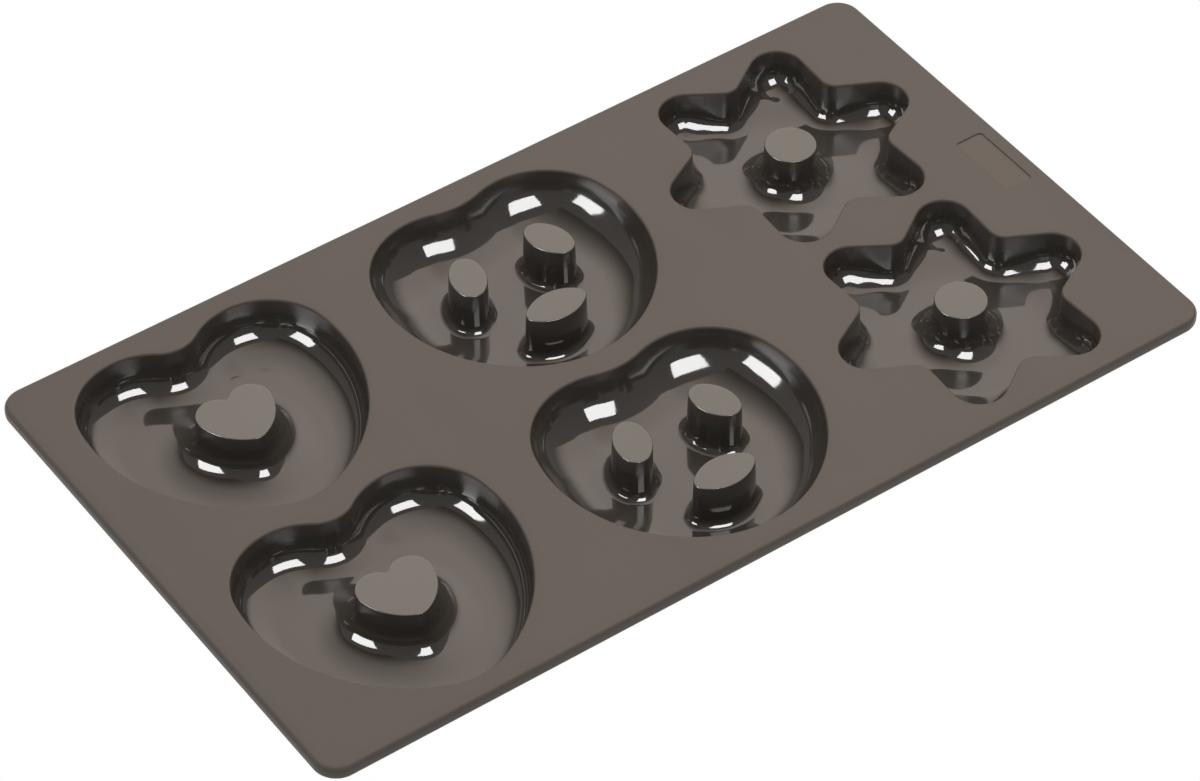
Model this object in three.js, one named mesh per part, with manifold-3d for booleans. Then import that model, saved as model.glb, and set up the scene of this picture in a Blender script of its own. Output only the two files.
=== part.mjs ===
// A six-cavity silicone baking mould for gingerbread: two hearts, two round pretzels and two
// six-pointed stars, with hollow cores that leave the holes in the finished cakes.
// Millimetres, Z up. It stands on the undersides of its cavities at z = 0, centred on X and Y,
// with the long side along X. The real mould is one moulding of even wall thickness. Here its
// regions (deck, rim, cavity walls, cavity floors and cores) are solids of their own, which
// meet on level planes.

import * as THREE from "three";
import { mergeVertices } from "three/addons/utils/BufferGeometryUtils.js";
import Module from "manifold-3d";

const wasm = await Module();
wasm.setup();

// The moulding
const length = 300; // along X
const width = 172; // along Y
const cornerRadius = 7.5;
const sheet = 1.8; // thickness of the deck, the walls, the floors and the cores
const depth = 14.5; // from the deck's face to the floor of a cavity
const draft = THREE.MathUtils.degToRad(2); // lean of walls and cores
const partingRise = 3; // the plane where walls and cores part from the floors, above the floor
const overrun = 2; // how far a cut runs past the face that it opens

// The rim, a bead that hangs from the edge of the deck
const rimHeight = 4.3; // side face, deck included
const rimWidth = 3.6;
const rimEdgeRadius = 1; // at the deck's face and under the bead

// The plain name panel at the middle of one short side, sunk into the deck
const panelLength = 24.5;
const panelWidth = 9.5;
const panelCorner = 1.2;
const panelSink = 0.4;
const panelMargin = 4.9; // from the panel to the edge of the deck

// Where the cavities lie, in two rows of three. They share the room that these leave them.
const heartMargin = 12.9; // from the edge of the deck to the hearts
const heartGap = 16.7; // from the hearts to the pretzels
const starGap = 13.1; // from the pretzels to the stars
const starMargin = 12; // from the stars to the other edge of the deck
const rowMargin = 7.1; // from a long edge of the deck to the row beside it
const rowGap = 4.9; // between the rows

// Edges round the cavities and on top of the cores
const mouthRadius = 0.7;
const coreEdgeRadius = 0.5;
const leastRadius = 0.25; // what is left of a radius that an inset or an outset uses up

// Concave radii where the floor meets the walls, and where a core rises out of it
const heartFloorRadius = 8.5;
const pretzelFloorRadius = 12;
const starFloorRadius = 7.4;
const flareRadius = 5;

// The outlines, seen from above, are shares of the span of a star from tip to tip.
// Heart cavity: two lobes, a notch between them, long flanks and a soft tip
const heartShares = {
  lobeX: 0.227,
  lobeY: 0.201,
  lobeRadius: 0.252,
  notchRadius: 0.135,
  flankRadius: 0.625,
  tipRadius: 0.262,
  tipY: -0.455,
};

// Heart core, the same form made small
const heartCoreShares = {
  lobeX: 0.064,
  lobeY: 0.039,
  lobeRadius: 0.076,
  notchRadius: 0.012,
  flankRadius: 0.202,
  tipRadius: 0.054,
  tipY: -0.131,
};

// Pretzel cavity: a fuller heart, almost round
const pretzelShares = {
  lobeX: 0.188,
  lobeY: 0.154,
  lobeRadius: 0.293,
  notchRadius: 0.304,
  flankRadius: 0.548,
  tipRadius: 0.429,
  tipY: -0.448,
};

// Pretzel cores: two upright ovals that lean inwards at the top, and one lying below them
const eyeShares = { x: 0.17, y: 0.102, halfLength: 0.098, halfWidth: 0.065, endRadius: 0.05 };
const eyeLean = THREE.MathUtils.degToRad(20);
const mouthShares = { y: -0.183, halfLength: 0.118, halfWidth: 0.068, endRadius: 0.036 };

// Star cavity: rounded arms, straight flanks and rounded valleys, with a round core
const starArms = 6;
const starShares = { reach: 0.5, tipRadius: 0.099, valleyReach: 0.348, valleyRadius: 0.064 };
const starCoreShares = { radius: 0.092 };

// How finely the curves are cut into flats
const heartSteps = { tip: 3, flank: 4, lobe: 8, notch: 4 };
const heartCoreSteps = { tip: 2, flank: 2, lobe: 5, notch: 2 };
const ovalEndSteps = 5;
const ovalSideSteps = 5;
const roundSteps = 24;
const starTipSteps = 5;
const starValleySteps = 3;
const deckCornerSteps = 6;
const edgeSteps = 2;
const floorCornerSteps = 2;

// Heights that follow from the above
const deckTop = sheet + depth;
const deckUnder = deckTop - sheet;
const parting = sheet + partingRise;

// The span that fits both ways: three columns along the deck, two rows across it. The tip of a
// heart reaches furthest from its middle, so it sets the height of a row.
const heartHalfShare = heartShares.lobeX + heartShares.lobeRadius;
const pretzelHalfShare = pretzelShares.lobeX + pretzelShares.lobeRadius;
const starHalfShare = starShares.reach;
const rowHalfShare = -heartShares.tipY;
const roomAlong = length - heartMargin - heartGap - starGap - starMargin;
const roomAcross = (width - rowGap) / 2 - rowMargin;
const spanAlong = roomAlong / (heartHalfShare + pretzelHalfShare + starHalfShare) / 2;
const spanAcross = roomAcross / rowHalfShare / 2;
const span = Math.min(spanAlong, spanAcross);

// Middles of the columns and of the back row. The outer columns keep to the ends of the deck,
// and the pretzels lie midway in what is left.
const heartX = heartMargin + heartHalfShare * span - length / 2;
const starX = length / 2 - starMargin - starHalfShare * span;
const afterHearts = heartX + (heartHalfShare + pretzelHalfShare) * span + heartGap;
const beforeStars = starX - (starHalfShare + pretzelHalfShare) * span - starGap;
const pretzelX = (afterHearts + beforeStars) / 2;
const rowY = width / 2 - rowMargin - rowHalfShare * span;

const right = Math.PI / 2;

// A table of shares turned into lengths.
function sized(shares) {
  return Object.fromEntries(Object.entries(shares).map(([name, share]) => [name, share * span]));
}

// Points along an arc, without the last one, which belongs to the arc that follows.
function arc(x, y, radius, from, to, steps) {
  const curve = new THREE.EllipseCurve(x, y, radius, radius, from, to, to < from);
  return curve.getPoints(steps).slice(0, -1);
}

function heading(from, to) {
  return Math.atan2(to.y - from.y, to.x - from.x);
}

// A heart grown outwards by `grow` all round (inwards when negative), from arcs that meet
// smoothly: half of it from the tip to the notch, then its mirror image.
function heartOutline(heart, steps, grow) {
  const lobe = new THREE.Vector2(heart.lobeX, heart.lobeY);
  const tip = new THREE.Vector2(0, heart.tipY + heart.tipRadius);
  const reachLobe = heart.flankRadius - heart.lobeRadius;
  const reachTip = heart.flankRadius - heart.tipRadius;
  const between = lobe.clone().sub(tip);
  const apart = between.length();
  const along = (reachTip ** 2 - reachLobe ** 2 + apart ** 2) / (apart + apart);
  const aside = Math.sqrt(Math.max(reachTip ** 2 - along ** 2, 0));
  const unit = between.normalize();
  const flank = tip.clone().addScaledVector(unit, along);
  flank.addScaledVector(new THREE.Vector2(-unit.y, unit.x), aside);
  const lobeRadius = Math.max(heart.lobeRadius + grow, leastRadius);
  const notchRadius = Math.max(heart.notchRadius - grow, leastRadius);
  const tipRadius = Math.max(heart.tipRadius + grow, leastRadius);
  const notchRise = Math.sqrt((lobeRadius + notchRadius) ** 2 - heart.lobeX ** 2);
  const notch = new THREE.Vector2(0, heart.lobeY + notchRise);
  const low = heading(flank, tip);
  const high = heading(flank, lobe);
  const half = [
    ...arc(tip.x, tip.y, tipRadius, -right, low, steps.tip),
    ...arc(flank.x, flank.y, heart.flankRadius + grow, low, high, steps.flank),
    ...arc(lobe.x, lobe.y, lobeRadius, high, heading(lobe, notch), steps.lobe),
    ...arc(notch.x, notch.y, notchRadius, heading(notch, lobe), -right, steps.notch),
  ];
  const middle = new THREE.Vector2(0, notch.y - notchRadius);
  const mirrored = half.slice(1).reverse();
  return [...half, middle, ...mirrored.map((p) => new THREE.Vector2(-p.x, p.y))];
}

// A star of rounded arms: tip arcs and valley arcs, joined by straight flanks. Where an inset
// uses up a tip's radius, or an outset a valley's, its centre slips so that the flanks stay
// tangent.
function starOutline(star, grow) {
  const pitch = (Math.PI + Math.PI) / starArms;
  const tip = new THREE.Vector2(star.reach - star.tipRadius, 0);
  const valleyCentre = star.valleyReach + star.valleyRadius;
  const valley = new THREE.Vector2(valleyCentre, 0).rotateAround(new THREE.Vector2(), pitch / 2);
  const radii = star.tipRadius + star.valleyRadius;
  const lean = heading(tip, valley) - Math.acos(Math.min(radii / tip.distanceTo(valley), 1));
  const tipRadius = Math.max(star.tipRadius + grow, leastRadius);
  const valleyRadius = Math.max(star.valleyRadius - grow, leastRadius);
  const tipSlip = (tipRadius - star.tipRadius - grow) / Math.cos(lean);
  const valleySlip = (valleyRadius - star.valleyRadius + grow) / Math.cos(lean - pitch / 2);
  tip.setLength(tip.length() - tipSlip);
  valley.setLength(valley.length() + valleySlip);
  const points = [];
  for (let k = 0; k < starArms; k++) {
    const turn = k * pitch;
    const t = tip.clone().rotateAround(new THREE.Vector2(), turn);
    const v = valley.clone().rotateAround(new THREE.Vector2(), turn);
    const meets = turn + lean + Math.PI;
    const leaves = turn + pitch - lean + Math.PI;
    points.push(...arc(t.x, t.y, tipRadius, turn - lean, turn + lean, starTipSteps));
    points.push(new THREE.Vector2(tipRadius, 0).rotateAround(new THREE.Vector2(), turn + lean).add(t));
    points.push(...arc(v.x, v.y, valleyRadius, meets, leaves, starValleySteps));
    points.push(new THREE.Vector2(valleyRadius, 0).rotateAround(new THREE.Vector2(), leaves).add(v));
  }
  return points;
}

// An oval with its length along Y: two end arcs and two flatter side arcs, all tangent.
function ovalOutline(oval, grow) {
  const { halfLength, halfWidth, endRadius } = oval;
  const endY = halfLength - endRadius;
  const spare = halfWidth - endRadius;
  const sideRadius = (halfWidth ** 2 + endY ** 2 - endRadius ** 2) / (spare + spare);
  const sideX = sideRadius - halfWidth;
  const swing = Math.atan2(endY, sideX);
  const end = Math.max(endRadius + grow, leastRadius);
  const side = sideRadius + grow;
  return [
    ...arc(-sideX, 0, side, -swing, swing, ovalSideSteps),
    ...arc(0, endY, end, swing, Math.PI - swing, ovalEndSteps),
    ...arc(sideX, 0, side, Math.PI - swing, Math.PI + swing, ovalSideSteps),
    ...arc(0, -endY, end, Math.PI + swing, Math.PI + Math.PI - swing, ovalEndSteps),
  ];
}

function roundOutline(round, grow) {
  return arc(0, 0, round.radius + grow, 0, Math.PI + Math.PI, roundSteps);
}

// A rectangle with rounded corners, centred on the origin.
function panelOutline(alongX, alongY, corner, grow) {
  const x = alongX / 2 - corner;
  const y = alongY / 2 - corner;
  const radius = Math.max(corner + grow, leastRadius);
  return [
    ...[...arc(x, y, radius, 0, right, deckCornerSteps), new THREE.Vector2(x, y + radius)],
    ...[...arc(-x, y, radius, right, Math.PI, deckCornerSteps), new THREE.Vector2(-x - radius, y)],
    ...[...arc(-x, -y, radius, -Math.PI, -right, deckCornerSteps), new THREE.Vector2(-x, -y - radius)],
    ...[...arc(x, -y, radius, -right, 0, deckCornerSteps), new THREE.Vector2(x + radius, -y)],
  ];
}

// Faces between rings of equal point counts, each ring one outline at its own height.
function bands(rings, closed) {
  const count = rings[0].length;
  const index = [];
  const last = closed ? rings.length : rings.length - 1;
  for (let r = 0; r < last; r++) {
    const low = r * count;
    const high = ((r + 1) % rings.length) * count;
    for (let i = 0; i < count; i++) {
      const j = (i + 1) % count;
      index.push(low + i, low + j, high + j, low + i, high + j, high + i);
    }
  }
  return index;
}

function geometryOf(rings, index) {
  const geometry = new THREE.BufferGeometry().setFromPoints(rings.flat());
  geometry.setIndex(index);
  return geometry;
}

// A ring of points: the outline grown by `grow`, lying at height z.
function ring(outline, grow, z) {
  return outline(grow).map((p) => new THREE.Vector3(p.x, p.y, z));
}

// A solid lofted upwards through [grow, z] levels of one outline, with flat ends.
function loft(outline, levels) {
  const rings = levels.map(([grow, z]) => ring(outline, grow, z));
  const index = bands(rings, false);
  const start = (rings.length - 1) * rings[0].length;
  for (const [a, b, c] of THREE.ShapeUtils.triangulateShape(rings[0], [])) index.push(c, b, a);
  for (const [a, b, c] of THREE.ShapeUtils.triangulateShape(rings.at(-1), []))
    index.push(start + a, start + b, start + c);
  return geometryOf(rings, index);
}

// A closed band round an outline: its section is a loop of [grow, z] points, outside upwards.
function band(outline, section) {
  const rings = section.map(([grow, z]) => ring(outline, grow, z));
  return geometryOf(rings, bands(rings, true));
}

// The run of a wall down into the floor: a drafted line and a round corner, tangent to both.
// `behind` is how far the surface lies behind the moulded face, inside the sheet.
class Corner {
  constructor(radius, behind) {
    this.radius = radius + behind;
    this.centreDepth = depth - radius;
    const straight = this.centreDepth + radius * Math.sin(draft);
    this.centreRun = radius * Math.cos(draft) + Math.tan(draft) * straight;
    this.behind = behind;
  }
  // Distance from the mouth's outline at depth h under the deck's face.
  run(h) {
    const tangent = this.centreDepth + this.radius * Math.sin(draft);
    if (h < tangent) return Math.tan(draft) * h - this.behind / Math.cos(draft);
    const sine = Math.min((h - this.centreDepth) / this.radius, 1);
    return this.centreRun - this.radius * Math.sqrt(1 - sine ** 2);
  }
  // Depths at even turns of the round corner, between two depths.
  depths(from, to, steps) {
    const turnAt = (h) => Math.asin(THREE.MathUtils.clamp((h - this.centreDepth) / this.radius, -1, 1));
    const tangent = this.centreDepth + this.radius * Math.sin(draft);
    const list = from < tangent ? [from] : [];
    const start = Math.max(from, tangent);
    for (let i = 0; i <= steps; i++) {
      const turn = THREE.MathUtils.lerp(turnAt(start), turnAt(to), i / steps);
      list.push(this.centreDepth + this.radius * Math.sin(turn));
    }
    return list;
  }
}

// Levels [grow, z] of a face between two depths, from the lower one up; `side` is -1 for a
// cavity, whose faces close in with depth, and 1 for a core, whose faces spread.
function levels(corner, side, from, to, steps) {
  const list = corner.depths(from, to, steps).map((h) => [side * corner.run(h), deckTop - h]);
  return list.reverse();
}

// Levels of a rounded top edge from depth `radius` up to the face: side 1 rounds a solid.
function roundedEdge(corner, side, radius) {
  const list = [];
  for (let i = 0; i <= edgeSteps; i++) {
    const turn = (right * i) / edgeSteps;
    const away = radius - radius * Math.cos(turn);
    const h = radius - radius * Math.sin(turn);
    list.push([side * (corner.run(radius) - away), deckTop - h]);
  }
  return list;
}

function solid(geometry) {
  const merged = mergeVertices(geometry);
  return new wasm.Manifold(
    new wasm.Mesh({
      numProp: 3,
      vertProperties: merged.attributes.position.array,
      triVerts: new Uint32Array(merged.index.array),
    }),
  );
}

function geometryFrom(made) {
  const mesh = made.getMesh();
  const geometry = new THREE.BufferGeometry();
  geometry.setAttribute("position", new THREE.BufferAttribute(mesh.vertProperties, mesh.numProp));
  geometry.setIndex(new THREE.BufferAttribute(mesh.triVerts, 1));
  geometry.computeVertexNormals();
  return geometry;
}

// Brown silicone: satin where the tool was matt, glossy where it was polished
const satin = { color: 0x3b342e, roughness: 0.42, metalness: 0 };
const gloss = { color: 0x2b2622, roughness: 0.12, metalness: 0 };

function piece(name, geometry, finish) {
  const material = new THREE.MeshStandardMaterial(finish);
  const mesh = new THREE.Mesh(geometry, material);
  mesh.name = name;
  return mesh;
}

// The kinds of cavity: column, outline, corner radius and the cores that stand in it
const eye = sized(eyeShares);
const mouth = sized(mouthShares);
const heartCoreAt = (grow) => heartOutline(sized(heartCoreShares), heartCoreSteps, grow);
const eyeAt = (grow) => ovalOutline(eye, grow);
const mouthAt = (grow) => ovalOutline(mouth, grow);
const starCoreAt = (grow) => roundOutline(sized(starCoreShares), grow);
const kinds = {
  heart: {
    x: heartX,
    outline: (grow) => heartOutline(sized(heartShares), heartSteps, grow),
    floorRadius: heartFloorRadius,
    cores: [{ name: "core", outline: heartCoreAt, x: 0, y: 0, turn: 0 }],
  },
  pretzel: {
    x: pretzelX,
    outline: (grow) => heartOutline(sized(pretzelShares), heartSteps, grow),
    floorRadius: pretzelFloorRadius,
    cores: [
      { name: "left_core", outline: eyeAt, x: -eye.x, y: eye.y, turn: -eyeLean },
      { name: "right_core", outline: eyeAt, x: eye.x, y: eye.y, turn: eyeLean },
      { name: "lower_core", outline: mouthAt, x: 0, y: mouth.y, turn: right },
    ],
  },
  star: {
    x: starX,
    outline: (grow) => starOutline(sized(starShares), grow),
    floorRadius: starFloorRadius,
    cores: [{ name: "core", outline: starCoreAt, x: 0, y: 0, turn: 0 }],
  },
};

// Depths below the deck's face of the parting plane, the deck's underside and a cavity's underside
const partingDepth = deckTop - parting;
const footDepth = deckTop;

// The ring of wall between the deck and the parting plane.
function wallGeometry(kind) {
  const inside = new Corner(kind.floorRadius, 0);
  const outside = new Corner(kind.floorRadius, sheet);
  const up = levels(outside, -1, sheet, partingDepth, floorCornerSteps);
  const down = levels(inside, -1, sheet, partingDepth, floorCornerSteps).reverse();
  return band(kind.outline, [...up, ...down]);
}

// A core above the parting plane, open underneath, its top level with the deck's face.
function coreGeometry(core) {
  const outside = new Corner(flareRadius, 0);
  const hollow = new Corner(flareRadius, sheet);
  const body = [
    ...levels(outside, 1, coreEdgeRadius, partingDepth, 1).slice(0, -1),
    ...roundedEdge(outside, 1, coreEdgeRadius),
  ];
  const bore = levels(hollow, 1, sheet, partingDepth + overrun, 1);
  return geometryFrom(solid(loft(core.outline, body)).subtract(solid(loft(core.outline, bore))));
}

// The part of a cavity below the parting plane: floor, round corner and the feet of its cores,
// each foot with the opening of its hollow core.
function floorGeometry(kind) {
  const inside = new Corner(kind.floorRadius, 0);
  const outside = new Corner(kind.floorRadius, sheet);
  const pan = levels(outside, -1, partingDepth, footDepth, floorCornerSteps);
  const bowl = levels(inside, -1, partingDepth, depth, floorCornerSteps);
  const lip = bowl.at(-1);
  const room = [...bowl, [lip[0], lip[1] + overrun]];
  let made = solid(loft(kind.outline, pan)).subtract(solid(loft(kind.outline, room)));
  for (const core of kind.cores) {
    const place = new THREE.Matrix4().makeRotationZ(core.turn).setPosition(core.x, core.y, 0);
    const foot = levels(new Corner(flareRadius, 0), 1, partingDepth, depth, floorCornerSteps);
    const spread = foot[0][0];
    const root = [[spread, deckTop - depth - sheet / 2], ...foot];
    const bore = levels(new Corner(flareRadius, sheet), 1, partingDepth, footDepth, floorCornerSteps);
    const mouth = [bore[0][0], bore[0][1] - overrun];
    const head = [bore.at(-1)[0], bore.at(-1)[1] + overrun];
    made = made
      .add(solid(loft(core.outline, root).applyMatrix4(place)))
      .subtract(solid(loft(core.outline, [mouth, ...bore, head]).applyMatrix4(place)));
  }
  return geometryFrom(made);
}

// The openings of the deck: the mouth of one cavity, with its rounded edge.
function mouthCut(kind) {
  const wall = new Corner(kind.floorRadius, 0);
  const edge = roundedEdge(wall, -1, mouthRadius);
  const low = [-wall.run(sheet), deckUnder];
  const under = [low[0], low[1] - overrun];
  const above = [edge.at(-1)[0], edge.at(-1)[1] + overrun];
  return loft(kind.outline, [under, low, ...edge, above]);
}

// The places of the cavities, back row first
const places = Object.keys(kinds).flatMap((kind) => [
  { kind, number: 1, x: kinds[kind].x, y: rowY },
  { kind, number: 2, x: kinds[kind].x, y: -rowY },
]);

function deckOutline(grow) {
  return panelOutline(length, width, cornerRadius, grow);
}

// The deck: a sheet with a rounded outer edge, six mouths and the sunk panel.
function deckGeometry() {
  const side = [[0, deckUnder]];
  for (let i = 0; i <= edgeSteps; i++) {
    const turn = (right * i) / edgeSteps;
    const inset = rimEdgeRadius - rimEdgeRadius * Math.cos(turn);
    side.push([-inset, deckTop - rimEdgeRadius + rimEdgeRadius * Math.sin(turn)]);
  }
  let made = solid(loft(deckOutline, side));
  for (const { kind, x, y } of places)
    made = made.subtract(solid(mouthCut(kinds[kind]).translate(x, y, 0)));
  const panel = loft(
    (grow) => panelOutline(panelWidth, panelLength, panelCorner, grow),
    [[0, deckTop - panelSink], [0, deckTop + overrun]],
  );
  const panelX = length / 2 - panelMargin - panelWidth / 2;
  return geometryFrom(made.subtract(solid(panel.translate(panelX, 0, 0))));
}

// The rim: its outside runs on from the edge of the deck, its lower edges are rounded.
function rimGeometry() {
  const bottom = deckTop - rimHeight;
  const outer = [];
  const inner = [];
  for (let i = 0; i <= edgeSteps; i++) {
    const turn = (right * i) / edgeSteps;
    const rise = rimEdgeRadius - rimEdgeRadius * Math.sin(turn);
    const inset = rimEdgeRadius - rimEdgeRadius * Math.cos(turn);
    inner.push([inset - rimWidth, bottom + rise]);
    outer.unshift([-inset, bottom + rise]);
  }
  return band(deckOutline, [...inner, ...outer, [0, deckUnder], [-rimWidth, deckUnder]]);
}

// The meshes, each cavity a group at its own place
const mould = new THREE.Group();
mould.name = "gingerbread_mould";
mould.add(piece("deck", deckGeometry(), satin));
mould.add(piece("rim", rimGeometry(), satin));
for (const { kind, number, x, y } of places) {
  const cavity = new THREE.Group();
  const form = kinds[kind];
  const name = `${kind}_${number}`;
  cavity.position.set(x, y, 0);
  cavity.add(piece(`${name}_wall`, wallGeometry(form), gloss));
  cavity.add(piece(`${name}_floor`, floorGeometry(form), gloss));
  for (const core of form.cores) {
    const mesh = piece(`${name}_${core.name}`, coreGeometry(core), satin);
    mesh.position.set(core.x, core.y, 0);
    mesh.rotation.z = core.turn;
    cavity.add(mesh);
  }
  mould.add(cavity);
}

export default mould;
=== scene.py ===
import math

import bpy
import numpy as np
from mathutils import Matrix, Vector
from mathutils.geometry import tessellate_polygon


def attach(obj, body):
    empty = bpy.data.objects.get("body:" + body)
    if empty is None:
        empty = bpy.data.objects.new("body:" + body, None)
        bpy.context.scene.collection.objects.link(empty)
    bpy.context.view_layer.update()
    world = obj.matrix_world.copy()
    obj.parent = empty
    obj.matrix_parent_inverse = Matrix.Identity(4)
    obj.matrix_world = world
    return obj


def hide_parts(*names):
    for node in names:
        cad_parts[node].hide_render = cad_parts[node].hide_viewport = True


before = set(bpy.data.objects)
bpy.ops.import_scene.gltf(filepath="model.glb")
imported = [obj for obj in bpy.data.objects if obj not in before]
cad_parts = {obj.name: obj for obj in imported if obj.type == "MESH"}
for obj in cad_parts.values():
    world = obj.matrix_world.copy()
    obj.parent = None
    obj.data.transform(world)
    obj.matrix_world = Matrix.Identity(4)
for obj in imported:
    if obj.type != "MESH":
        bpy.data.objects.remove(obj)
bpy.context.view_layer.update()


# Camera, lights and table

# The mould lies on a white table. A broad white card hangs over it and beyond it, lit from
# above, and two small softboxes stand at the near side and at the left. The polished rubber
# mirrors all three. Flags keep the softboxes' glare off the pieces that are satin all over.

CAMERA_AT = (-0.569438, -0.807566, 0.993634)
CAMERA_HEADING = math.radians(35.087554)
CAMERA_DIP = math.radians(45.094157)
CAMERA_ROLL = math.radians(-0.349084)
CARD_HEIGHT = 1.06
CARD_LEFT = -0.7
CARD_RIGHT = 2.4
CARD_NEAR = -0.25
CARD_FAR = 2.6
CARD_GLOW = 1.9
SOFTBOX_GLOW = 13.5
TABLE_REACH = 12
TABLE_DROP = 0.0003

camera_data = bpy.data.cameras.new("camera")
camera_data.sensor_width = 36
camera_data.lens = 147.05
camera_data.clip_start = 0.05
camera_data.clip_end = 50
camera = bpy.data.objects.new("camera", camera_data)
camera.matrix_world = (
    Matrix.Translation(CAMERA_AT)
    @ Matrix.Rotation(-CAMERA_HEADING, 4, "Z")
    @ Matrix.Rotation(math.pi / 2 - CAMERA_DIP, 4, "X")
    @ Matrix.Rotation(CAMERA_ROLL, 4, "Z")
)
bpy.context.scene.collection.objects.link(camera)
bpy.context.scene.camera = camera
bpy.context.scene.view_settings.view_transform = "Standard"

mirroring_pieces = bpy.data.collections.new("mirroring_pieces")


def soft_light(name, place, width, height, colour, brightness, gloss, spread):
    """A rectangular light at a place, turned to the middle of the mould. Its power is its
    brightness, 1 for white, times pi times its area. gloss lets the pieces with polished faces
    mirror it, and spread lets it light dull faces."""
    data = bpy.data.lights.new(name, "AREA")
    data.shape = "RECTANGLE"
    data.size = width
    data.size_y = height
    data.color = colour
    data.energy = brightness * math.pi * width * height
    light = bpy.data.objects.new(name, data)
    light.location = place
    light.rotation_euler = (-Vector(place)).to_track_quat("-Z", "Y").to_euler()
    light.visible_camera = False
    light.visible_diffuse = spread
    light.visible_glossy = gloss
    if gloss:
        light.light_linking.receiver_collection = mirroring_pieces
    bpy.context.scene.collection.objects.link(light)


soft_light(
    "overhead", (0.32, 0.46, CARD_HEIGHT), 2.4, 2.0, (1.0, 0.98, 0.96), 1.0,
    gloss=False, spread=True,
)
soft_light(
    "near_softbox", (-0.026, -0.524, 0.562), 0.40, 0.38, (1, 1, 1), SOFTBOX_GLOW,
    gloss=True, spread=False,
)
soft_light(
    "left_softbox", (-0.639, 0.107, 0.312), 0.38, 0.36, (1, 1, 1), SOFTBOX_GLOW,
    gloss=True, spread=False,
)

studio = bpy.data.worlds.new("studio")
studio.use_nodes = True
bpy.context.scene.world = studio
studio_walls = studio.node_tree.nodes["Background"].inputs
studio_walls["Color"].default_value = (1, 1, 1, 1)
studio_walls["Strength"].default_value = 0.3


def level_quad(name, left, right, near, far, height):
    """A level rectangle of one face, between two X and two Y values, at a height."""
    mesh = bpy.data.meshes.new(name)
    corners = [(left, near), (right, near), (right, far), (left, far)]
    mesh.from_pydata([(x, y, height) for x, y in corners], [], [(0, 1, 2, 3)])
    quad = bpy.data.objects.new(name, mesh)
    bpy.context.scene.collection.objects.link(quad)
    return quad


def math_node(tree, operation, *values):
    """The result of one Math node, whose inputs are sockets or plain numbers, in order."""
    node = tree.nodes.new("ShaderNodeMath")
    node.operation = operation
    for socket, value in zip(node.inputs, values):
        if isinstance(value, (int, float)):
            socket.default_value = value
        else:
            tree.links.new(value, socket)
    return node.outputs["Value"]


overhead_card = level_quad(
    "overhead_card", CARD_LEFT, CARD_RIGHT, CARD_NEAR, CARD_FAR, CARD_HEIGHT
)
overhead_card.visible_camera = False
overhead_card.visible_diffuse = False
overhead_card.visible_shadow = False

# The card's glow is full where the lamps above it reach, and fades from there along X and Y
# to the least share of it at the dim end.
lit_card = bpy.data.materials.new("lit_card")
lit_card.use_nodes = True
lit = lit_card.node_tree
lit.nodes.remove(lit.nodes["Principled BSDF"])
lit_where = lit.nodes.new("ShaderNodeTexCoord")
lit_axes = lit.nodes.new("ShaderNodeSeparateXYZ")
lit.links.new(lit_where.outputs["Object"], lit_axes.inputs["Vector"])
lit_level = CARD_GLOW
for axis, dim, full, least in (
    ("X", CARD_LEFT, 0.62, 0.0),
    ("X", CARD_RIGHT, 0.9, 0.3),
    ("Y", 2.5, 0.8, 0.2),
):
    fade = lit.nodes.new("ShaderNodeMapRange")
    fade.interpolation_type = "SMOOTHSTEP"
    fade.inputs["From Min"].default_value = dim
    fade.inputs["From Max"].default_value = full
    fade.inputs["To Min"].default_value = least
    lit.links.new(lit_axes.outputs[axis], fade.inputs["Value"])
    lit_level = math_node(lit, "MULTIPLY", fade.outputs["Result"], lit_level)
lit_glow = lit.nodes.new("ShaderNodeEmission")
lit_glow.inputs["Color"].default_value = (1.0, 0.87, 0.79, 1)
lit.links.new(lit_level, lit_glow.inputs["Strength"])
lit.links.new(lit_glow.outputs["Emission"], lit.nodes["Material Output"].inputs["Surface"])
overhead_card.data.materials.append(lit_card)

table = level_quad("table", -TABLE_REACH, TABLE_REACH, -TABLE_REACH, TABLE_REACH, -TABLE_DROP)
white_card = bpy.data.materials.new("white_card")
white_card.use_nodes = True
card = white_card.node_tree
card_paper = card.nodes["Principled BSDF"]
card_paper.inputs["Base Color"].default_value = (0.6, 0.6, 0.6, 1)
card_paper.inputs["Roughness"].default_value = 0.9
card_ray = card.nodes.new("ShaderNodeLightPath").outputs
card_seen = math_node(card, "MAXIMUM", card_ray["Is Camera Ray"], card_ray["Is Glossy Ray"])
card_seen = math_node(card, "MAXIMUM", card_seen, card_ray["Is Transmission Ray"])
card_glow = card.nodes.new("ShaderNodeEmission")
card_either = card.nodes.new("ShaderNodeMixShader")
card.links.new(card_seen, card_either.inputs["Fac"])
card.links.new(card_paper.outputs["BSDF"], card_either.inputs[1])
card.links.new(card_glow.outputs["Emission"], card_either.inputs[2])
card.links.new(card_either.outputs["Shader"], card.nodes["Material Output"].inputs["Surface"])
table.data.materials.append(white_card)


# Heart cavities: walls

# The mould is one casting of brown silicone rubber, 1.8 mm thick all over. A cavity's wall
# leans out two degrees so that the cake lets go, and turns into the floor with a wide round
# corner. The tool was polished where the dough lies, and etched to a satin elsewhere.

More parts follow.
